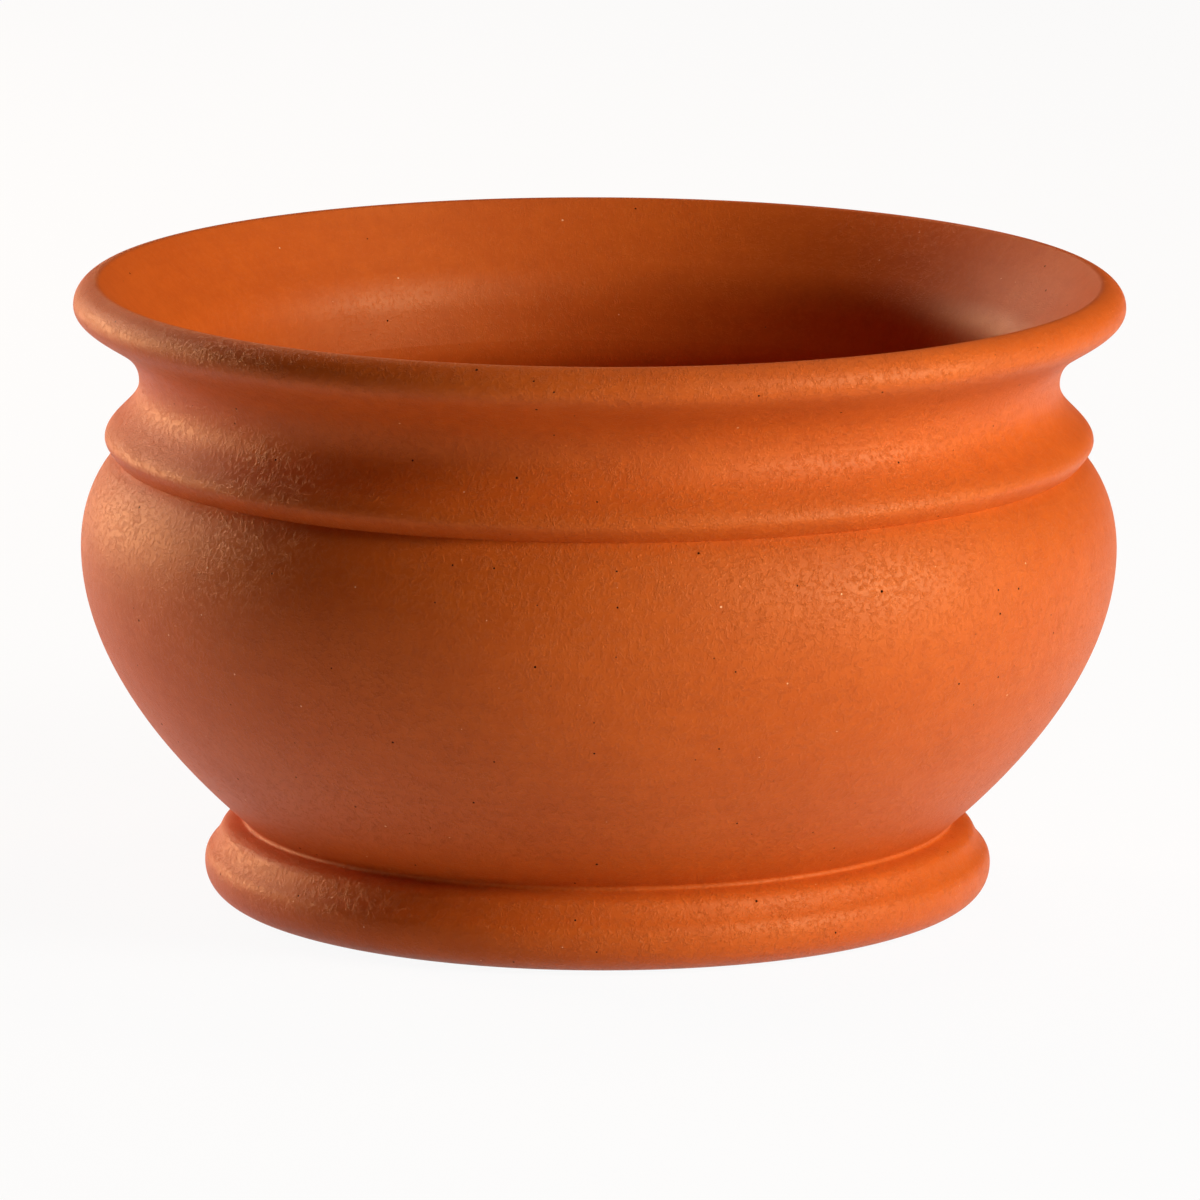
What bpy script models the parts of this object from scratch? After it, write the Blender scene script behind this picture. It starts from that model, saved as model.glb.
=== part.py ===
"""Terracotta planter, 300 mm across the rim, turned in three sections.

The foot ring, the bowl and the collar are each one closed outline turned about Z.
They meet at two seats. The boss under the bowl drops into the foot's gallery, and
the collar stands on the bowl's conical shoulder with a V tongue in a V groove.

Metres, +Z up. The origin is on the ground, in the middle of the foot. In an outline
a point is (radius, height), and a heading is in degrees: 0 points straight out from
the axis, 90 straight up, 180 straight in.
"""
import math
from collections import namedtuple

import bpy
from mathutils import Vector
from mathutils.geometry import interpolate_bezier

# A curve's heading at each end, its handle at each end as a share of the straight distance,
# and its number of straight steps
Curve = namedtuple("Curve", "leaving arriving start_pull end_pull steps")

# In the sizes below a rise is measured up from the level before it, and an inset in from the
# foot's or the rim's widest radius, but the arris is measured from the crest beside it

# Driving dimensions of the foot ring
FOOT_DIAMETER = 0.2254
FOOT_BASE_INSET = 0.0128
FOOT_ROLL_RISE = 0.0102
FOOT_HOLLOW_INSET = 0.0017
FOOT_HOLLOW_RISE = 0.0047
FOOT_CAP_INSET = 0.0045
FOOT_CAP_RISE = 0.0043
FOOT_WAIST_INSET = 0.0110
FOOT_WAIST_RISE = 0.0040
FOOT_SEAT_WIDTH = 0.0058
GALLERY_DEPTH = 0.0085
GALLERY_WIDTH = 0.0060
FOOT_ROLL = Curve(0.0, 90.0, 0.41, 0.42, 5)
FOOT_HOLLOW = Curve(90.0, 134.0, 0.45, 0.30, 2)
FOOT_CAP = Curve(134.0, 114.0, 0.33, 0.33, 2)
FOOT_TOP = Curve(114.0, 165.0, 0.40, 0.30, 4)

# Driving dimensions of the bowl
BELLY_RISE = 0.0787
BELLY_SWELL = 0.0167
SHOULDER_RISE = 0.0250
CREASE_INSET = 0.0021
CREASE_RISE = 0.0024
SEAT_SLOPE = 36.0
MOUTH_STEP = 0.0015
BOWL_WALL = 0.0095
FLOOR_THICKNESS = 0.0110
COVE_RISE = 0.0080
COVE_REACH = 0.0180
COVE_PULL = 0.36
COVE_STEPS = 4
DRAIN_DIAMETER = 0.0240
BOWL_SIDE = Curve(41.0, 90.0, 0.27, 0.36, 10)
BOWL_SHOULDER = Curve(90.0, 131.0, 0.35, 0.33, 5)
BOWL_CREASE = Curve(131.0, 85.0, 0.40, 0.45, 3)

# Driving dimensions of the collar
RIM_DIAMETER = 0.3000
NECK_INSET = 0.0187
NECK_WALL = 0.0093
NECK_RISE = 0.0172
BEAD_PROUD = 0.0098
BEAD_UNDERCUT = 0.0038
BEAD_RISE = 0.0033
FLARE_RISE = 0.0221
LIP_WALL = 0.0070
LIP_RISE = 0.0069
CREST_INSET = 0.0062
ARRIS_INSET = 0.0011
ARRIS_DROP = 0.0012
TONGUE_WIDTH = 0.0060
TONGUE_DEPTH = 0.0022
BEAD_UNDERSIDE = Curve(78.0, 90.0, 0.22, 0.36, 5)
BEAD_TOP = Curve(90.0, 90.0, 0.25, 0.42, 5)
NECK_FLARE = Curve(90.0, 90.0, 0.47, 0.24, 9)
LIP_ROLL = Curve(90.0, 180.0, 0.50, 0.14, 4)
LIP_ARRIS = Curve(180.0, 250.0, 0.38, 0.38, 2)
LIP_INSIDE = Curve(250.0, 215.0, 0.35, 0.35, 3)
INNER_FLARE_POINTS = 7

# The slip joint between two sections, and the softening of edges left by the turning tool
SEAM = 0.0003
EDGE = 0.0020
SEAT_EDGE = 0.0010
MOUTH_EDGE = 0.0030
EDGE_STEPS = 2
MOUTH_STEPS = 3

# The share of a side that a softened edge may take, and the pull that makes a corner's curve round
EDGE_SHARE = 0.45
ROUND_PULL = 0.55

# Faceting
SEGMENTS = 60

# Fired clay, as linear red, green and blue
CLAY = (0.52, 0.115, 0.030)
CLAY_ROUGHNESS = 0.72

# Radii that follow from the driving dimensions
RIM_RADIUS = RIM_DIAMETER / 2
NECK_RADIUS = RIM_RADIUS - NECK_INSET
BEAD_RADIUS = NECK_RADIUS + BEAD_PROUD
CREASE_RADIUS = BEAD_RADIUS - BEAD_UNDERCUT
SHOULDER_RADIUS = CREASE_RADIUS + CREASE_INSET
BELLY_RADIUS = NECK_RADIUS + BELLY_SWELL
THROAT_RADIUS = NECK_RADIUS - NECK_WALL
MOUTH_RADIUS = THROAT_RADIUS - MOUTH_STEP
FOOT_RADIUS = FOOT_DIAMETER / 2
WAIST_RADIUS = FOOT_RADIUS - FOOT_WAIST_INSET
GALLERY_RADIUS = WAIST_RADIUS - FOOT_SEAT_WIDTH
BORE_RADIUS = GALLERY_RADIUS - GALLERY_WIDTH
DRAIN_RADIUS = DRAIN_DIAMETER / 2

# Heights that follow from the driving dimensions
HOLLOW_HEIGHT = FOOT_ROLL_RISE + FOOT_HOLLOW_RISE
CAP_HEIGHT = HOLLOW_HEIGHT + FOOT_CAP_RISE
FOOT_HEIGHT = CAP_HEIGHT + FOOT_WAIST_RISE
LEDGE_HEIGHT = FOOT_HEIGHT - GALLERY_DEPTH
FLOOR_HEIGHT = LEDGE_HEIGHT + SEAM + FLOOR_THICKNESS
BELLY_HEIGHT = FOOT_HEIGHT + BELLY_RISE
SHOULDER_HEIGHT = BELLY_HEIGHT + SHOULDER_RISE
CREASE_HEIGHT = SHOULDER_HEIGHT + CREASE_RISE
BEAD_HEIGHT = CREASE_HEIGHT + BEAD_RISE
NECK_HEIGHT = BEAD_HEIGHT + NECK_RISE
RIM_HEIGHT = NECK_HEIGHT + FLARE_RISE
CREST_HEIGHT = RIM_HEIGHT + LIP_RISE


def direction(heading):
    """Unit vector of a heading."""
    return Vector((math.cos(math.radians(heading)), math.sin(math.radians(heading))))


def sweep(start, end, curve):
    """Points of one smooth curve, both ends included."""
    start = Vector(start)
    end = Vector(end)
    chord = (end - start).length
    start_handle = start + direction(curve.leaving) * chord * curve.start_pull
    end_handle = end - direction(curve.arriving) * chord * curve.end_pull
    points = interpolate_bezier(start, start_handle, end_handle, end, curve.steps + 1)
    return [point.to_2d() for point in points]


def softened(before, corner, after, radius, steps=EDGE_STEPS):
    """Points that round one corner by a radius, less where a side is too short for it."""
    corner = Vector(corner)
    to_before = Vector(before) - corner
    to_after = Vector(after) - corner
    reach = radius / math.tan(to_before.angle(to_after) / 2)
    reach = min(reach, EDGE_SHARE * to_before.length, EDGE_SHARE * to_after.length)
    start = corner + to_before.normalized() * reach
    end = corner + to_after.normalized() * reach
    start_handle = start.lerp(corner, ROUND_PULL)
    end_handle = end.lerp(corner, ROUND_PULL)
    return [point.to_2d() for point in interpolate_bezier(start, start_handle, end_handle, end, steps + 1)]


def inset(points, first_wall, last_wall):
    """The line moved to the left of its direction, by a wall that tapers evenly."""
    moved = []
    last = len(points) - 1
    for index, point in enumerate(points):
        arriving = (point - points[max(index - 1, 0)]).normalized()
        leaving = (points[min(index + 1, last)] - point).normalized()
        along = (arriving + leaving).normalized()
        wall = first_wall + (last_wall - first_wall) * index / last
        moved.append(point + Vector((-along.y, along.x)) * wall)
    return moved


def seat_line(inner_radius, lift):
    """The conical seat from the crease under the bead inwards, with its V, lifted off the bowl."""
    along = direction(180.0 - SEAT_SLOPE)
    away = direction(90.0 - SEAT_SLOPE)
    crease = Vector((CREASE_RADIUS, CREASE_HEIGHT)) + away * lift
    collar_length = (CREASE_RADIUS - THROAT_RADIUS) / -along.x
    length = (crease.x - inner_radius) / -along.x
    middle = collar_length / 2
    line = [crease]
    line.append(crease + along * (middle - TONGUE_WIDTH / 2))
    line.append(crease + along * middle - away * TONGUE_DEPTH)
    line.append(crease + along * (middle + TONGUE_WIDTH / 2))
    line.append(crease + along * length)
    return line


def foot_outline():
    """Up the two rolls of the outside, over the seat and the gallery, down the bore."""
    base = (FOOT_RADIUS - FOOT_BASE_INSET, 0.0)
    widest = (FOOT_RADIUS, FOOT_ROLL_RISE)
    hollow = (FOOT_RADIUS - FOOT_HOLLOW_INSET, HOLLOW_HEIGHT)
    cap = (FOOT_RADIUS - FOOT_CAP_INSET, CAP_HEIGHT)
    waist = (WAIST_RADIUS, FOOT_HEIGHT)
    gallery_top = (GALLERY_RADIUS, FOOT_HEIGHT)
    gallery_foot = (GALLERY_RADIUS, LEDGE_HEIGHT)
    ledge = (BORE_RADIUS, LEDGE_HEIGHT)
    bore_foot = (BORE_RADIUS, 0.0)
    line = sweep(base, widest, FOOT_ROLL)
    line += sweep(widest, hollow, FOOT_HOLLOW)[1:]
    line += sweep(hollow, cap, FOOT_CAP)[1:]
    line += sweep(cap, waist, FOOT_TOP)[1:]
    line += softened(waist, gallery_top, gallery_foot, SEAT_EDGE)
    line += [Vector(gallery_foot)]
    line += softened(gallery_foot, ledge, bore_foot, SEAT_EDGE)
    line += softened(ledge, bore_foot, base, EDGE)
    return line


def bowl_outline():
    """Up the belly and in through the crease, over the conical seat, down the inside, out under the boss."""
    waist = (WAIST_RADIUS, FOOT_HEIGHT + SEAM)
    widest = (BELLY_RADIUS, BELLY_HEIGHT)
    shoulder = (SHOULDER_RADIUS, SHOULDER_HEIGHT)
    outside = sweep(waist, widest, BOWL_SIDE)
    outside += sweep(widest, shoulder, BOWL_SHOULDER)[1:]
    seat = seat_line(MOUTH_RADIUS, 0.0)
    mouth_top = seat[-1]
    mouth_foot = mouth_top - Vector((0.0, BOWL_WALL / math.cos(math.radians(SEAT_SLOPE))))
    inside = inset(outside + [mouth_top], BOWL_WALL, BOWL_WALL)[:-1]
    inside = [point for point in inside if point.y > FLOOR_HEIGHT + COVE_RISE]
    inside.reverse()
    slope = inside[-1] - inside[-2]
    cove = Curve(math.degrees(math.atan2(slope.y, slope.x)), 180.0, COVE_PULL, COVE_PULL, COVE_STEPS)
    cove_foot = (inside[-1].x - COVE_REACH, FLOOR_HEIGHT)
    drain_top = (DRAIN_RADIUS, FLOOR_HEIGHT)
    drain_foot = (DRAIN_RADIUS, LEDGE_HEIGHT + SEAM)
    boss_foot = (GALLERY_RADIUS - SEAM, LEDGE_HEIGHT + SEAM)
    boss_top = (GALLERY_RADIUS - SEAM, FOOT_HEIGHT + SEAM)
    line = outside + sweep(shoulder, seat[0], BOWL_CREASE)[1:] + seat[1:-1]
    line += softened(seat[-2], mouth_top, mouth_foot, MOUTH_EDGE, MOUTH_STEPS)
    line += softened(mouth_top, mouth_foot, inside[0], MOUTH_EDGE)
    line += inside
    line += sweep(inside[-1], cove_foot, cove)[1:]
    line += softened(cove_foot, drain_top, drain_foot, EDGE)
    line += softened(drain_top, drain_foot, boss_foot, EDGE)
    line += softened(drain_foot, boss_foot, boss_top, SEAT_EDGE)
    line += [Vector(boss_top)]
    return line


def collar_outline():
    """Up over the bead and the neck, round the lip, down the inside, out along the seat."""
    seat = seat_line(THROAT_RADIUS, SEAM)
    bead = (BEAD_RADIUS, BEAD_HEIGHT)
    neck = (NECK_RADIUS, NECK_HEIGHT)
    rim = (RIM_RADIUS, RIM_HEIGHT)
    crest = (RIM_RADIUS - CREST_INSET, CREST_HEIGHT)
    arris = (RIM_RADIUS - CREST_INSET - ARRIS_INSET, CREST_HEIGHT - ARRIS_DROP)
    flare = sweep(neck, rim, NECK_FLARE)
    inside = inset(flare[:INNER_FLARE_POINTS], NECK_WALL, LIP_WALL)
    inside.reverse()
    line = sweep(seat[0], bead, BEAD_UNDERSIDE)
    line += sweep(bead, neck, BEAD_TOP)[1:]
    line += flare[1:]
    line += sweep(rim, crest, LIP_ROLL)[1:]
    line += sweep(crest, arris, LIP_ARRIS)[1:]
    line += sweep(arris, inside[0], LIP_INSIDE)[1:]
    line += inside[1:]
    line += softened(inside[-1], seat[-1], seat[-2], SEAT_EDGE)
    line += seat[-2:0:-1]
    return line


def clay(name):
    """Unglazed terracotta."""
    material = bpy.data.materials.new(name)
    material.use_nodes = True
    shader = material.node_tree.nodes["Principled BSDF"]
    shader.inputs["Base Color"].default_value = (*CLAY, 1.0)
    shader.inputs["Roughness"].default_value = CLAY_ROUGHNESS
    shader.inputs["Metallic"].default_value = 0.0
    material.diffuse_color = (*CLAY, 1.0)
    return material


def turn(name, outline):
    """One section: a closed outline turned about Z.

    The outline is reversed, so that it runs down its outer side and the faces point out.
    """
    points = [(point.x, 0.0, point.y) for point in reversed(outline)]
    edges = [(index, (index + 1) % len(points)) for index in range(len(points))]
    mesh = bpy.data.meshes.new(name)
    mesh.from_pydata(points, edges, [])
    section = bpy.data.objects.new(name, mesh)
    bpy.context.scene.collection.objects.link(section)
    wheel = section.modifiers.new("wheel", "SCREW")
    wheel.axis = "Z"
    wheel.angle = math.tau
    wheel.screw_offset = 0.0
    wheel.steps = SEGMENTS
    wheel.render_steps = SEGMENTS
    wheel.use_merge_vertices = True
    wheel.merge_threshold = 0.00001
    wheel.use_smooth_shade = True
    mesh.materials.append(clay(name + "_clay"))
    return section


def main():
    for old in list(bpy.data.objects):
        bpy.data.objects.remove(old)
    turn("foot_ring", foot_outline())
    turn("bowl", bowl_outline())
    turn("collar", collar_outline())


main()
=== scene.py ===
"""Looks of the terracotta planter: its turned clay surfaces, the studio floor, the lamps and the camera.

Metres, +Z up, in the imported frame. The planter is one pot turned in three sections, and each
section is turned here again with the fine curves, creases and finish that the frame's facets
leave out. In an outline a point is (radius, height), and a heading is in degrees: 0 points
straight out from the axis, 90 straight up, 180 straight in.
"""
import math
from collections import namedtuple

import bmesh
import bpy
from mathutils import Matrix, Vector, noise
from mathutils.geometry import interpolate_bezier

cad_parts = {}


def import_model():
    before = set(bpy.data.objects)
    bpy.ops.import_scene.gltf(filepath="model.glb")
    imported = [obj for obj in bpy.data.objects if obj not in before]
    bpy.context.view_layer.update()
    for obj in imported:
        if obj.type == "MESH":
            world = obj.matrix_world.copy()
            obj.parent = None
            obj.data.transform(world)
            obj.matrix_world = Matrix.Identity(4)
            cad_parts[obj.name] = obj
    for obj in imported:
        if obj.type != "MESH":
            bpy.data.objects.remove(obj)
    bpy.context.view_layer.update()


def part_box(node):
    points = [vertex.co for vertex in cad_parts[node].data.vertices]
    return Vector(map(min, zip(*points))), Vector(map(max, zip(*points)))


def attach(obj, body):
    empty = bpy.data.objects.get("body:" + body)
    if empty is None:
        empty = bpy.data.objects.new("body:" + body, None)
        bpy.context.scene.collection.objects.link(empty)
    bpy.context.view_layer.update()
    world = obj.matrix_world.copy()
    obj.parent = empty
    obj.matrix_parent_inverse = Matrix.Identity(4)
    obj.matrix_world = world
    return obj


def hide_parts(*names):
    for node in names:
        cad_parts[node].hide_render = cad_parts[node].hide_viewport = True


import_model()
MM = 0.001

# A curve's heading at each end, its handle at each end as a share of the straight distance,
# and its number of straight steps
Curve = namedtuple("Curve", "leaving arriving start_pull end_pull steps")

# A rounded corner: its handles' share of the way to the corner, and its straight steps
ROUND_PULL = 0.55
ROUND_STEPS = 6

# The frame's three sections: the widest radius, the top and the underside of each
RIM_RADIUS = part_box("collar")[1].x
CREST_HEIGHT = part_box("collar")[1].z
BELLY_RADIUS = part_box("bowl")[1].x
UNDERSIDE_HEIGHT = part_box("bowl")[0].z
FOOT_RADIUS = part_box("foot_ring")[1].x
FOOT_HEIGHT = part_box("foot_ring")[1].z

# Foot ring: two soft rolls with a shallow hollow between them
FOOT_BASE = Vector((FOOT_RADIUS - 12.8 * MM, 0.0))
FOOT_WIDEST = Vector((FOOT_RADIUS, 10.2 * MM))
FOOT_HOLLOW = Vector((FOOT_RADIUS - 1.7 * MM, 14.9 * MM))
FOOT_CAP = Vector((FOOT_RADIUS - 4.5 * MM, 19.2 * MM))
FOOT_TOP = Vector((FOOT_RADIUS - 10.2 * MM, FOOT_HEIGHT - 0.7 * MM))
FOOT_CREASE = Vector((FOOT_RADIUS - 11.0 * MM, FOOT_HEIGHT))
FOOT_BORE_RADIUS = FOOT_CREASE.x - 11.8 * MM
FOOT_SEAT = 3.0 * MM
FOOT_GALLERY = FOOT_CREASE.x - 5.8 * MM
BORE_TOP_EDGE = 1.0 * MM
BORE_FOOT_EDGE = 2.0 * MM
FOOT_ROLL_CURVE = Curve(0.0, 90.0, 0.41, 0.42, 20)
FOOT_HOLLOW_CURVE = Curve(90.0, 134.0, 0.45, 0.30, 10)
FOOT_CAP_CURVE = Curve(134.0, 114.0, 0.33, 0.33, 10)
FOOT_TOP_CURVE = Curve(114.0, 165.0, 0.40, 0.30, 14)
FOOT_CREASE_CURVE = Curve(165.0, 103.0, 0.38, 0.38, 5)

# Bowl: the belly, the shoulder up to the soft crease under the bead, and the inside
BOWL_FOOT = FOOT_CREASE + Vector((0.35 * MM, 1.0 * MM))
BELLY = Vector((BELLY_RADIUS, FOOT_HEIGHT + 78.7 * MM))
SHOULDER = Vector((BELLY_RADIUS - 7.6 * MM, FOOT_HEIGHT + 102.5 * MM))
GROOVE = Vector((BELLY_RADIUS - 10.3 * MM, FOOT_HEIGHT + 105.3 * MM))
BOWL_WALL = 9.5 * MM
FLOOR_HEIGHT = UNDERSIDE_HEIGHT + 11.0 * MM
COVE_RISE = 8.0 * MM
COVE_REACH = 18.0 * MM
DRAIN_RADIUS = 12.0 * MM
DRAIN_EDGE = 2.5 * MM
BOSS_RADIUS = FOOT_CREASE.x - 6.1 * MM
BOWL_FOOT_CURVE = Curve(103.0, 41.0, 0.38, 0.38, 5)
SIDE_CURVE = Curve(41.0, 90.0, 0.27, 0.36, 64)
SHOULDER_CURVE = Curve(90.0, 128.0, 0.35, 0.33, 26)
GROOVE_CURVE = Curve(128.0, 134.0, 0.36, 0.36, 10)
COVE_PULL = 0.36
COVE_STEPS = 14
MOUTH_LEAVING = 270.0
MOUTH_PULL = 0.40
MOUTH_STEPS = 14

# Collar: bead, drawn-in neck, flare and rolled lip
BEAD = Vector((RIM_RADIUS - 8.9 * MM, GROOVE.y + 5.1 * MM))
NECK = Vector((RIM_RADIUS - 18.7 * MM, GROOVE.y + 21.3 * MM))
RIM = Vector((RIM_RADIUS, NECK.y + 22.1 * MM))
CREST = Vector((RIM_RADIUS - 6.2 * MM, CREST_HEIGHT))
ARRIS = CREST - Vector((1.6 * MM, 0.6 * MM))
NECK_WALL = 9.3 * MM
FLARE_WALL = 8.2 * MM
THROAT_RADIUS = NECK.x - NECK_WALL
SEAT_SLOPE = math.radians(36.0)
MOUTH_RISE = (GROOVE.x - THROAT_RADIUS) * math.tan(SEAT_SLOPE)
MOUTH_TOP = Vector((THROAT_RADIUS - 0.4 * MM, GROOVE.y + MOUTH_RISE))
BEAD_UNDERSIDE_CURVE = Curve(48.0, 90.0, 0.40, 0.22, 18)
BEAD_TOP_CURVE = Curve(90.0, 90.0, 0.24, 0.42, 24)
FLARE_CURVE = Curve(90.0, 90.0, 0.47, 0.24, 36)
LIP_ROLL_CURVE = Curve(90.0, 180.0, 0.50, 0.14, 20)
ARRIS_CURVE = Curve(180.0, 221.0, 0.38, 0.38, 8)
LIP_INSIDE_PULL = 0.35
LIP_INSIDE_STEPS = 24
INNER_FLARE_SHARE = 0.28

# The turning: steps round the axis, how far the hand-turned surface wanders from true, and which
# faces take the inside's finish on the two rings and on the bowl
TURN_STEPS = 300
WOBBLE = 0.12 * MM
WOBBLE_LENGTH = 45.0 * MM
SHARP_ANGLE = math.radians(38.0)
WELD = 0.001 * MM
RING_LEAN = 0.5
BOWL_LEAN = -0.3


def direction(heading):
    """Unit vector of a heading."""
    return Vector((math.cos(math.radians(heading)), math.sin(math.radians(heading))))


def sweep(start, end, curve):
    """Points of one smooth curve, both ends included."""
    chord = (end - start).length
    start_handle = start + direction(curve.leaving) * chord * curve.start_pull
    end_handle = end - direction(curve.arriving) * chord * curve.end_pull
    points = interpolate_bezier(start, start_handle, end_handle, end, curve.steps + 1)
    return [point.to_2d() for point in points]


def inset(points, first_wall, last_wall):
    """The line moved to the left of its direction, by a wall that tapers evenly."""
    moved = []
    last = len(points) - 1
    for index, point in enumerate(points):
        along = (points[min(index + 1, last)] - points[max(index - 1, 0)]).normalized()
        wall = first_wall + (last_wall - first_wall) * index / last
        moved.append(point + Vector((-along.y, along.x)) * wall)
    return moved


def rounded(before, corner, after, radius):
    """Points that round one corner by a radius."""
    to_before = before - corner
    to_after = after - corner
    reach = radius / math.tan(to_before.angle(to_after) / 2)
    start = corner + to_before.normalized() * reach
    end = corner + to_after.normalized() * reach
    start_handle = start.lerp(corner, ROUND_PULL)
    end_handle = end.lerp(corner, ROUND_PULL)
    points = interpolate_bezier(start, start_handle, end_handle, end, ROUND_STEPS + 1)
    return [point.to_2d() for point in points]


def foot_outline():
    """Up the outside over both rolls to the crease, in over the seat, down the bore."""
    seat = Vector((FOOT_BORE_RADIUS + FOOT_SEAT, UNDERSIDE_HEIGHT))
    bore_top = Vector((FOOT_BORE_RADIUS, UNDERSIDE_HEIGHT))
    bore_foot = Vector((FOOT_BORE_RADIUS, 0.0))
    line = sweep(FOOT_BASE, FOOT_WIDEST, FOOT_ROLL_CURVE)
    line += sweep(FOOT_WIDEST, FOOT_HOLLOW, FOOT_HOLLOW_CURVE)[1:]
    line += sweep(FOOT_HOLLOW, FOOT_CAP, FOOT_CAP_CURVE)[1:]
    line += sweep(FOOT_CAP, FOOT_TOP, FOOT_TOP_CURVE)[1:]
    line += sweep(FOOT_TOP, FOOT_CREASE, FOOT_CREASE_CURVE)[1:]
    line += [Vector((FOOT_GALLERY, FOOT_HEIGHT))]
    line += [Vector((FOOT_GALLERY, UNDERSIDE_HEIGHT)), seat]
    line += rounded(seat, bore_top, bore_foot, BORE_TOP_EDGE)
    line += rounded(bore_top, bore_foot, FOOT_BASE, BORE_FOOT_EDGE)
    return line


def bowl_outline():
    """Up the belly to the crease, over the mouth, down the inside, out under the floor."""
    outside = sweep(FOOT_CREASE, BOWL_FOOT, BOWL_FOOT_CURVE)
    outside += sweep(BOWL_FOOT, BELLY, SIDE_CURVE)[1:]
    outside += sweep(BELLY, SHOULDER, SHOULDER_CURVE)[1:]
    inside = inset(outside + [MOUTH_TOP], BOWL_WALL, BOWL_WALL)[:-2]
    inside = [point for point in inside if point.y > FLOOR_HEIGHT + COVE_RISE]
    inside.reverse()
    slope = inside[-1] - inside[-2]
    cove = Curve(math.degrees(math.atan2(slope.y, slope.x)), 180.0, COVE_PULL, COVE_PULL, COVE_STEPS)
    cove_foot = Vector((inside[-1].x - COVE_REACH, FLOOR_HEIGHT))
    opening = inside[1] - inside[0]
    mouth_arriving = math.degrees(math.atan2(opening.y, opening.x)) % 360.0
    mouth = Curve(MOUTH_LEAVING, mouth_arriving, MOUTH_PULL, MOUTH_PULL, MOUTH_STEPS)
    drain_top = Vector((DRAIN_RADIUS, FLOOR_HEIGHT))
    drain_foot = Vector((DRAIN_RADIUS, UNDERSIDE_HEIGHT))
    boss_foot = Vector((BOSS_RADIUS, UNDERSIDE_HEIGHT))
    line = outside + sweep(SHOULDER, GROOVE, GROOVE_CURVE)[1:]
    line += sweep(MOUTH_TOP, inside[0], mouth)
    line += inside[1:]
    line += sweep(inside[-1], cove_foot, cove)[1:]
    line += rounded(cove_foot, drain_top, drain_foot, DRAIN_EDGE)
    line += rounded(drain_top, drain_foot, boss_foot, DRAIN_EDGE)
    line += [boss_foot, Vector((boss_foot.x, FOOT_HEIGHT))]
    return line


def collar_outline():
    """Up over the bead and the neck, round the lip, down the inside, out along the seat."""
    flare = sweep(NECK, RIM, FLARE_CURVE)
    inside = inset(flare[:round(len(flare) * INNER_FLARE_SHARE)], NECK_WALL, FLARE_WALL)
    inside.reverse()
    slope = inside[1] - inside[0]
    arriving = math.degrees(math.atan2(slope.y, slope.x)) % 360.0
    lip_inside = Curve(ARRIS_CURVE.arriving, arriving, LIP_INSIDE_PULL, LIP_INSIDE_PULL, LIP_INSIDE_STEPS)
    line = sweep(GROOVE, BEAD, BEAD_UNDERSIDE_CURVE)
    line += sweep(BEAD, NECK, BEAD_TOP_CURVE)[1:]
    line += flare[1:]
    line += sweep(RIM, CREST, LIP_ROLL_CURVE)[1:]
    line += sweep(CREST, ARRIS, ARRIS_CURVE)[1:]
    line += sweep(ARRIS, inside[0], lip_inside)[1:]
    line += inside[1:]
    line += [MOUTH_TOP]
    return line


def wander(point):
    """How far the turned surface stands off true at a point.

    It depends on the place alone, so the sections on both sides of a crease still meet.
    """
    return WOBBLE * noise.noise(point / WOBBLE_LENGTH)


def turn(name, outline, node, outside_clay, inside_clay, lean):
    """One section: its closed outline spun round Z, a little out of true.

    A face takes the inside's finish where it looks in to the axis by more than `lean` times
    as far as it looks up. A negative lean gives that finish to the faces that look up as well.
    """
    work = bmesh.new()
    points = [work.verts.new((point.x, 0.0, point.y)) for point in outline]
    edges = [work.edges.new((points[index - 1], points[index])) for index in range(len(points))]
    bmesh.ops.spin(work, geom=points + edges, cent=(0, 0, 0), axis=(0, 0, 1), dvec=(0, 0, 0),
                   angle=math.tau, steps=TURN_STEPS, use_merge=True, use_duplicate=False)
    bmesh.ops.remove_doubles(work, verts=work.verts, dist=WELD)
    bmesh.ops.recalc_face_normals(work, faces=work.faces)
    for vertex in work.verts:
        outward = Vector((vertex.co.x, vertex.co.y, 0.0)).normalized()
        vertex.co += outward * wander(vertex.co)
    for face in work.faces:
        outward = face.calc_center_median().xy.normalized()
        leaning = -face.normal.xy.dot(outward)
        face.material_index = int(leaning > lean * max(face.normal.z, 0.0))
    mesh = bpy.data.meshes.new(name)
    work.to_mesh(mesh)
    work.free()
    mesh.shade_smooth()
    mesh.set_sharp_from_angle(angle=SHARP_ANGLE)
    mesh.materials.append(outside_clay)
    mesh.materials.append(inside_clay)
    section = bpy.data.objects.new(name, mesh)
    bpy.context.scene.collection.objects.link(section)
    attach(section, "root")
    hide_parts(node)


def linear(hex_colour):
    """Linear red, green, blue and alpha of an sRGB hex colour."""
    shades = [int(hex_colour[place:place + 2], 16) / 255 for place in (1, 3, 5)]
    return tuple(s / 12.92 if s <= 0.04045 else ((s + 0.055) / 1.055) ** 2.4 for s in shades) + (1.0,)


def add_node(tree, kind, inputs=None, **settings):
    """A node with its settings and its linked or constant inputs."""
    node = tree.nodes.new(kind)
    for name, value in settings.items():
        setattr(node, name, value)
    for name, value in (inputs or {}).items():
        if isinstance(value, bpy.types.NodeSocket):
            tree.links.new(value, node.inputs[name])
        else:
            node.inputs[name].default_value = value
    return node


# Terracotta: sRGB of the fired clay where it kept more and less iron, of the painted shade inside its pits,
# of its pale grit, and of the clay dust that warms its sheen
CLAY_IRON = "#bd4e12"
CLAY_PALE = "#ce5c18"
PIT_PAINTED_SHADE = "#1a0702"
GRIT_PALE = "#f0b080"
SHEEN = "#ffdca8"
SHEEN_LEVEL = 0.46

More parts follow.
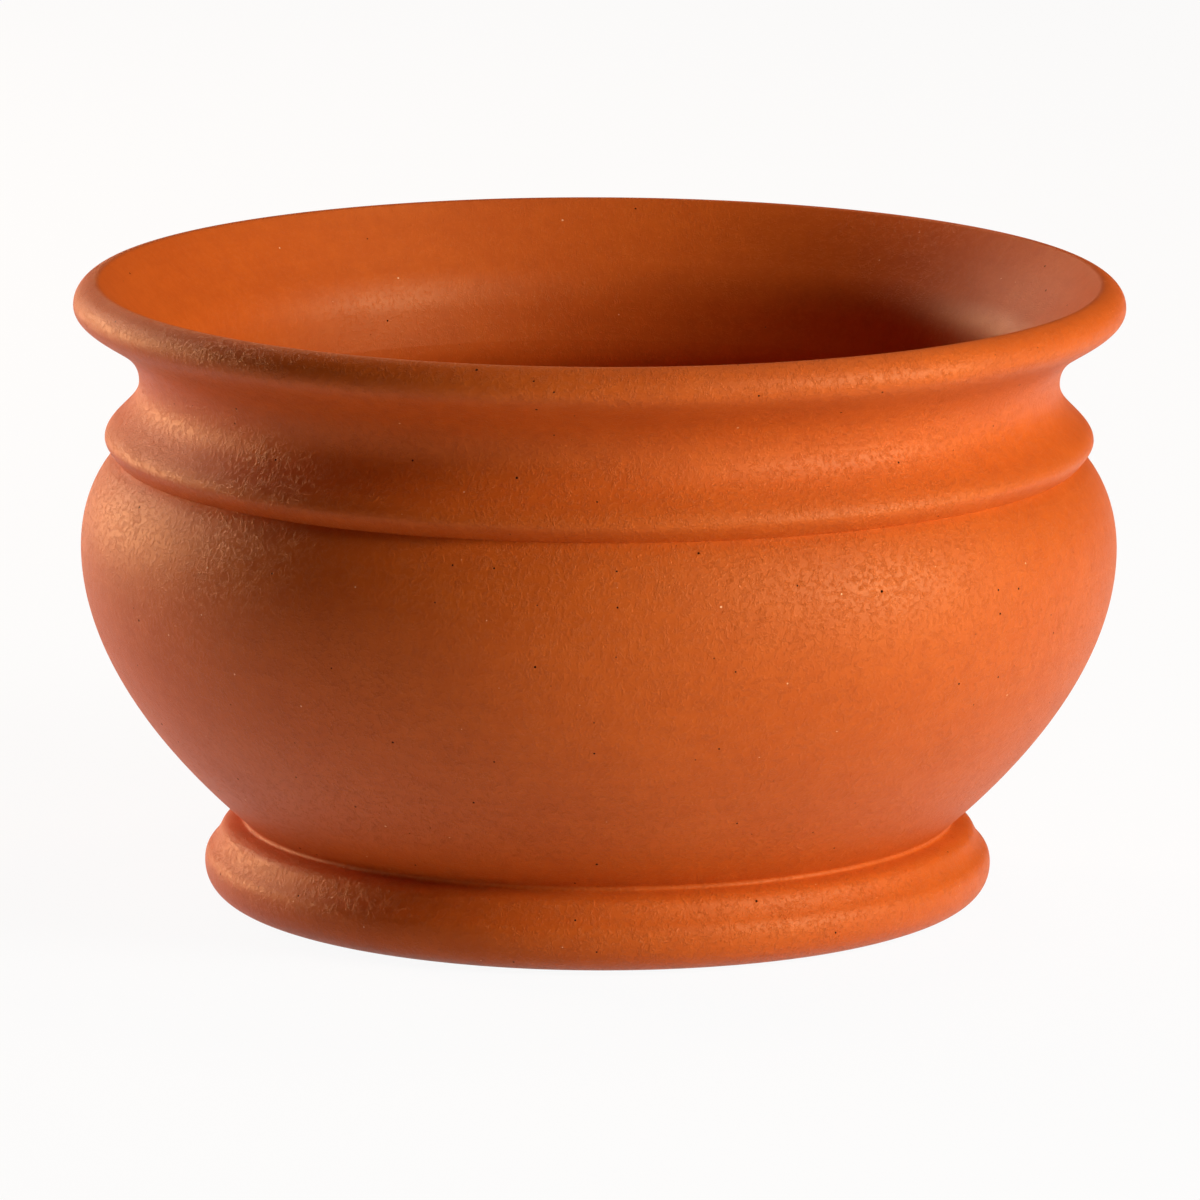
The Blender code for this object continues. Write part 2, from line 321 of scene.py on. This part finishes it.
# Its pattern and relief, in millimetres
PATCH_SIZE = 42.0
MOTTLE_SIZE = 5.0
STREAK_LENGTH = 60.0
STREAK_WIDTH = 2.2
WRINKLE_SIZE = 0.9
WRINKLE_LENGTH = 1.5
WRINKLE_PATCH = 11.0
GRAIN_SIZE = 0.5
PIT_SPACING = 5.6
PIT_RADIUS = 0.44
PIT_DEPTH = 0.6
GRIT_SPACING = 6.5
GRIT_RADIUS = 0.36

# How the noises bend and mix: the shares of each, and the part of each one's range that is used
WRINKLE_BEND = 1.2
WRINKLE_WIDTH = 0.13
MOTTLE_SHARE = 0.5
STREAK_SHARE = 0.15
# Share and range of the wrinkles' painted light on crests and painted shade in folds, partly wear
CREST_SHADING_SHARE = 0.3
FOLD_SHADE_TONE = 0.45
CREST_LIGHT_TONE = 0.70
SHADE_LOW = 0.36
SHADE_HIGH = 0.64
TONE_LOW = 0.35
TONE_HIGH = 0.65
ROUGHNESS_DRIFT = 0.02
GRAIN_SHARE = 0.5
CUT_LOW = 0.42
CUT_HIGH = 0.58
FAINTEST_WRINKLE = 0.1
WEAK_PATCH = 0.75
STRONG_PATCH = 1.05
SMALLEST_SPOT = 0.3
SPOT_EDGE = 0.25


def terracotta(name, wrinkle_depth, roughness):
    """Low-fired terracotta with a dull, broad sheen, which gives a matt orange body and soft highlights.

    The slip brush leaves short crossing wrinkles, their crests painted paler and their folds darker as
    painted light and shade, partly wear; burnt-out grit leaves pits, painted dark inside as painted shade;
    and the clay's iron gives slow clouds of redder and paler orange.
    """
    material = bpy.data.materials.new(name)
    material.use_nodes = True
    tree = material.node_tree
    shader = tree.nodes["Principled BSDF"]
    place = add_node(tree, "ShaderNodeTexCoord").outputs["Object"]
    scaled = {0: place, "Scale": 1.0 / MM}
    millimetres = add_node(tree, "ShaderNodeVectorMath", scaled, operation="SCALE").outputs[0]

    tone = cloud_tone(tree, millimetres)
    wrinkle = brush_wrinkles(tree, millimetres)
    # Wrinkle crests are painted paler and folds darker: painted light and shade of the relief, partly worn
    # crests and dust in the folds
    crest = {"Value": wrinkle, "From Min": 0.1, "From Max": 1.0, "To Min": FOLD_SHADE_TONE, "To Max": CREST_LIGHT_TONE}
    crest_light_and_wear = add_node(tree, "ShaderNodeMapRange", crest).outputs[0]
    mixed = {"Factor": CREST_SHADING_SHARE, "A": tone, "B": crest_light_and_wear}
    shade = add_node(tree, "ShaderNodeMix", mixed, data_type="FLOAT").outputs[0]
    spread = {"Value": shade, "From Min": SHADE_LOW, "From Max": SHADE_HIGH}
    shade = add_node(tree, "ShaderNodeMapRange", spread).outputs[0]
    ends = {"Factor": shade, "A": linear(CLAY_IRON), "B": linear(CLAY_PALE)}
    colour = add_node(tree, "ShaderNodeMix", ends, data_type="RGBA").outputs["Result"]

    pit = spots(tree, millimetres, PIT_SPACING, PIT_RADIUS, "Red")
    grit = spots(tree, millimetres, GRIT_SPACING, GRIT_RADIUS, "Green")
    # The pits take a near-black colour: painted shade inside the hollows
    dark = {"Factor": pit, "A": colour, "B": linear(PIT_PAINTED_SHADE)}
    colour = add_node(tree, "ShaderNodeMix", dark, data_type="RGBA").outputs["Result"]
    pale = {"Factor": grit, "A": colour, "B": linear(GRIT_PALE)}
    colour = add_node(tree, "ShaderNodeMix", pale, data_type="RGBA").outputs["Result"]
    tree.links.new(colour, shader.inputs["Base Color"])

    raised = {"Height": wrinkle, "Distance": wrinkle_depth * MM, "Strength": 1.0}
    relief = add_node(tree, "ShaderNodeBump", raised).outputs["Normal"]
    sunk = {"Height": pit, "Distance": PIT_DEPTH * MM, "Strength": 1.0, "Normal": relief}
    relief = add_node(tree, "ShaderNodeBump", sunk, invert=True).outputs["Normal"]
    tree.links.new(relief, shader.inputs["Normal"])

    dulled = {"Value": tone, "From Min": TONE_LOW, "From Max": TONE_HIGH,
              "To Min": roughness + ROUGHNESS_DRIFT, "To Max": roughness - ROUGHNESS_DRIFT}
    dullness = add_node(tree, "ShaderNodeMapRange", dulled).outputs[0]
    tree.links.new(dullness, shader.inputs["Roughness"])
    # A pit is a hole in the sheen
    hole = {"Value": pit, "To Min": SHEEN_LEVEL, "To Max": 0.0}
    sheen = add_node(tree, "ShaderNodeMapRange", hole).outputs[0]
    tree.links.new(sheen, shader.inputs["Specular IOR Level"])
    shader.inputs["Specular Tint"].default_value = linear(SHEEN)
    return material


def cloud_tone(tree, millimetres):
    """Slow patches, small mottle and faint level streaks, about 0.5 in the middle."""
    wide = {"Vector": millimetres, "Scale": 1.0 / PATCH_SIZE, "Detail": 3.0, "Roughness": 0.6}
    patches = add_node(tree, "ShaderNodeTexNoise", wide).outputs["Fac"]
    small = {"Vector": millimetres, "Scale": 1.0 / MOTTLE_SIZE, "Detail": 3.0, "Roughness": 0.6}
    mottle = add_node(tree, "ShaderNodeTexNoise", small).outputs["Fac"]
    # Squeezed along the turning direction, the noise draws out into level streaks
    squeeze = STREAK_WIDTH / STREAK_LENGTH
    squeezed = {0: millimetres, 1: (squeeze, squeeze, 1.0)}
    level = add_node(tree, "ShaderNodeVectorMath", squeezed, operation="MULTIPLY").outputs[0]
    drawn = {"Vector": level, "Scale": 1.0 / STREAK_WIDTH, "Detail": 2.0, "Roughness": 0.5}
    streaks = add_node(tree, "ShaderNodeTexNoise", drawn).outputs["Fac"]
    both = {"Factor": MOTTLE_SHARE, "A": patches, "B": mottle}
    tone = add_node(tree, "ShaderNodeMix", both, data_type="FLOAT").outputs[0]
    streaked = {"Factor": STREAK_SHARE, "A": tone, "B": streaks}
    return add_node(tree, "ShaderNodeMix", streaked, data_type="FLOAT").outputs[0]


def brush_wrinkles(tree, millimetres):
    """Height of short crossing wrinkles, stronger and weaker in patches, with a fine grain between them."""
    bent = {"Vector": millimetres, "Scale": 1.0 / WRINKLE_SIZE, "Detail": 1.5, "Roughness": 0.5,
            "Distortion": WRINKLE_BEND}
    fold = add_node(tree, "ShaderNodeTexNoise", bent).outputs["Fac"]
    fold = add_node(tree, "ShaderNodeMath", {0: fold, 1: 0.5}, operation="SUBTRACT").outputs[0]
    fold = add_node(tree, "ShaderNodeMath", {0: fold}, operation="ABSOLUTE").outputs[0]
    bank = {"Value": fold, "From Min": 0.0, "From Max": WRINKLE_WIDTH, "To Min": 1.0, "To Max": 0.0}
    fold = add_node(tree, "ShaderNodeMapRange", bank, interpolation_type="SMOOTHSTEP").outputs[0]
    # A second, looser noise cuts the long wrinkles into short ones
    loose = {"Vector": millimetres, "Scale": 1.0 / WRINKLE_LENGTH, "Detail": 1.0}
    cut = add_node(tree, "ShaderNodeTexNoise", loose).outputs["Fac"]
    ends = {"Value": cut, "From Min": CUT_LOW, "From Max": CUT_HIGH,
            "To Min": FAINTEST_WRINKLE, "To Max": 1.0}
    cut = add_node(tree, "ShaderNodeMapRange", ends).outputs[0]
    fold = add_node(tree, "ShaderNodeMath", {0: fold, 1: cut}, operation="MULTIPLY").outputs[0]
    patchy = {"Vector": millimetres, "Scale": 1.0 / WRINKLE_PATCH, "Detail": 2.0}
    patch = add_node(tree, "ShaderNodeTexNoise", patchy).outputs["Fac"]
    strength = {"Value": patch, "From Min": TONE_LOW, "From Max": TONE_HIGH,
                "To Min": WEAK_PATCH, "To Max": STRONG_PATCH}
    patch = add_node(tree, "ShaderNodeMapRange", strength).outputs[0]
    fold = add_node(tree, "ShaderNodeMath", {0: fold, 1: patch}, operation="MULTIPLY").outputs[0]
    fine = {"Vector": millimetres, "Scale": 1.0 / GRAIN_SIZE, "Detail": 1.0}
    grain = add_node(tree, "ShaderNodeTexNoise", fine).outputs["Fac"]
    ground = {0: grain, 1: GRAIN_SHARE, 2: fold}
    return add_node(tree, "ShaderNodeMath", ground, operation="MULTIPLY_ADD").outputs[0]


def spots(tree, millimetres, spacing, largest, channel):
    """Round spots up to a largest radius in about half of the cells, 1 in a spot's middle and 0 outside."""
    cells = add_node(tree, "ShaderNodeTexVoronoi", {"Vector": millimetres, "Scale": 1.0 / spacing})
    size = add_node(tree, "ShaderNodeSeparateColor", {"Color": cells.outputs["Color"]}).outputs[channel]
    reach = {"Value": size, "From Min": SMALLEST_SPOT, "From Max": 1.0,
             "To Min": 0.0, "To Max": largest / spacing}
    edge = add_node(tree, "ShaderNodeMapRange", reach).outputs[0]
    inside = {0: edge, 1: cells.outputs["Distance"]}
    inside = add_node(tree, "ShaderNodeMath", inside, operation="SUBTRACT").outputs[0]
    rounded_off = {"Value": inside, "From Min": 0.0, "From Max": SPOT_EDGE * largest / spacing}
    return add_node(tree, "ShaderNodeMapRange", rounded_off, interpolation_type="SMOOTHSTEP").outputs[0]


# The floor: how much of its colour the camera sees as plain white, the rest keeps the shadow
WHITE_SHARE = 0.93
FLOOR_COLOUR = "#f4f4f2"
FLOOR_ROUGHNESS = 0.9
FLOOR_RADIUS = 6.0
FLOOR_SIDES = 64
FLOOR_DROP = 0.2 * MM


def studio_floor():
    """A pale floor that the camera sees white, with the planter's shadow kept."""
    material = bpy.data.materials.new("pale_floor")
    material.use_nodes = True
    tree = material.node_tree
    shader = tree.nodes["Principled BSDF"]
    shader.inputs["Base Color"].default_value = linear(FLOOR_COLOUR)
    shader.inputs["Roughness"].default_value = FLOOR_ROUGHNESS
    rays = add_node(tree, "ShaderNodeLightPath").outputs
    mirrored = {0: rays["Is Camera Ray"], 1: rays["Is Glossy Ray"]}
    mirrored = add_node(tree, "ShaderNodeMath", mirrored, operation="MAXIMUM").outputs[0]
    seen = {0: mirrored, 1: rays["Is Transmission Ray"]}
    seen = add_node(tree, "ShaderNodeMath", seen, operation="MAXIMUM").outputs[0]
    share = {0: seen, 1: WHITE_SHARE}
    share = add_node(tree, "ShaderNodeMath", share, operation="MULTIPLY").outputs[0]
    white = add_node(tree, "ShaderNodeEmission", {"Color": (1.0, 1.0, 1.0, 1.0), "Strength": 1.0}).outputs[0]
    mixed = add_node(tree, "ShaderNodeMixShader", {"Fac": share, 1: shader.outputs[0], 2: white}).outputs[0]
    tree.links.new(mixed, tree.nodes["Material Output"].inputs["Surface"])
    mesh = bpy.data.meshes.new("studio_floor")
    work = bmesh.new()
    bmesh.ops.create_circle(work, cap_ends=True, radius=FLOOR_RADIUS, segments=FLOOR_SIDES)
    work.to_mesh(mesh)
    work.free()
    mesh.materials.append(material)
    floor = bpy.data.objects.new("studio_floor", mesh)
    bpy.context.scene.collection.objects.link(floor)
    floor.location.z = -FLOOR_DROP


# How far each lamp stands from the planter's middle, in metres
LAMP_DISTANCE = 2.0


def lamp(name, azimuth, elevation, size, watts, colour):
    """A disc lamp that faces the planter's middle. Azimuth 0 is +X and 90 is +Y."""
    data = bpy.data.lights.new(name, "AREA")
    data.shape = "DISK"
    data.size = size
    data.energy = watts
    data.color = linear(colour)[:3]
    lit = bpy.data.objects.new(name, data)
    bpy.context.scene.collection.objects.link(lit)
    raised = Matrix.Rotation(-math.radians(elevation), 3, "Y")
    toward = Matrix.Rotation(math.radians(azimuth), 3, "Z") @ raised @ Vector((1.0, 0.0, 0.0))
    lit.location = toward * LAMP_DISTANCE + Vector((0.0, 0.0, CREST_HEIGHT / 2))
    lit.rotation_euler = (-toward).to_track_quat("-Z", "Y").to_euler()


# Camera: read from the rim's, the creases' and the foot's ellipses in the 1200 px photograph
CAMERA_ELEVATION = math.radians(11.08)
CAMERA_DISTANCE = 3.7207
CAMERA_AIM_HEIGHT = 85.63 * MM
CAMERA_ROLL = math.radians(0.238)
FOCAL_PIXELS = 13000.0
PHOTO_PIXELS = 1200.0
SENSOR = 36.0
SIDE_SHIFT_PIXELS = 1.48
FARTHEST = 50.0


def camera():
    """The photograph's view: a long lens, a little above the rim."""
    data = bpy.data.cameras.new("photo_camera")
    data.sensor_width = SENSOR
    data.lens = FOCAL_PIXELS / PHOTO_PIXELS * SENSOR
    data.shift_x = SIDE_SHIFT_PIXELS / PHOTO_PIXELS
    data.clip_end = FARTHEST
    eye = bpy.data.objects.new("photo_camera", data)
    bpy.context.scene.collection.objects.link(eye)
    back = Vector((0.0, -math.cos(CAMERA_ELEVATION), math.sin(CAMERA_ELEVATION)))
    place = Matrix.Translation(Vector((0.0, 0.0, CAMERA_AIM_HEIGHT)) + back * CAMERA_DISTANCE)
    tilt = Matrix.Rotation(math.pi / 2 - CAMERA_ELEVATION, 4, "X")
    eye.matrix_world = place @ tilt @ Matrix.Rotation(CAMERA_ROLL, 4, "Z")
    bpy.context.scene.camera = eye


# The light that the rest of the room gives
ROOM_COLOUR = "#fff1e6"
ROOM_STRENGTH = 0.02


def world():
    """Dim, even light from the rest of the room."""
    sky = bpy.data.worlds.new("studio")
    bpy.context.scene.world = sky
    sky.use_nodes = True
    background = sky.node_tree.nodes["Background"]
    background.inputs["Color"].default_value = linear(ROOM_COLOUR)
    background.inputs["Strength"].default_value = ROOM_STRENGTH


clay = terracotta("slip_brushed_terracotta", 0.11, 0.51)
sponged = terracotta("sponged_terracotta", 0.04, 0.48)
turn("foot_ring_turned", foot_outline(), "foot_ring", clay, sponged, RING_LEAN)
turn("bowl_turned", bowl_outline(), "bowl", clay, sponged, BOWL_LEAN)
turn("collar_turned", collar_outline(), "collar", clay, sponged, RING_LEAN)
studio_floor()
lamp("key", -26.0, 14.0, 0.8, 37.0, "#fdfff9")
lamp("high_front", -35.0, 35.0, 0.7, 9.5, "#ffffff")
lamp("left_edge", 143.0, 8.0, 0.6, 30.0, "#ffcb98")
lamp("left_fill", 130.0, 18.0, 0.6, 8.0, "#ffe2c8")
lamp("top", 50.0, 66.0, 0.6, 7.5, "#ffcba0")
lamp("back_right", 105.0, 28.0, 0.6, 4.5, "#ffcba0")
camera()
world()
bpy.context.scene.view_settings.view_transform = "Standard"
